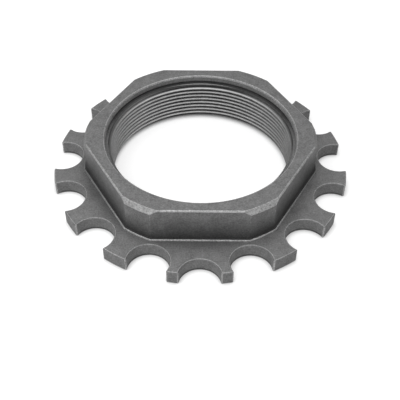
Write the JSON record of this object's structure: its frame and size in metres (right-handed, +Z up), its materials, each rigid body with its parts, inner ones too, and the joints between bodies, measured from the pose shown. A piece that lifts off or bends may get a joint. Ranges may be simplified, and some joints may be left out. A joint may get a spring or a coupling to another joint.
{
  "type": "axle lock nut",
  "caption": "Large axle lock nut in one piece: a hexagon with turned corners and a fine-threaded bore, on a wide flange whose rim has round locking notches.",
  "frame": {"origin": "on the bore's axis, at the seating face under the flange", "axes": "+Z up the bore from the seating face towards the hexagon's top; -Y through the middle of the front notch and of the flat above it; +X to the right as seen from the front"},
  "size_m": [0.1296, 0.1294, 0.023],
  "materials": {
    "phosphated_steel": "dark grey blasted and phosphated steel, matt, with paler worn edges",
    "cut_thread": "machined thread flanks, paler than the body and softly shining"
  },
  "bodies": {
    "root": {"nut": "phosphated_steel"}
  },
  "joints": []
}
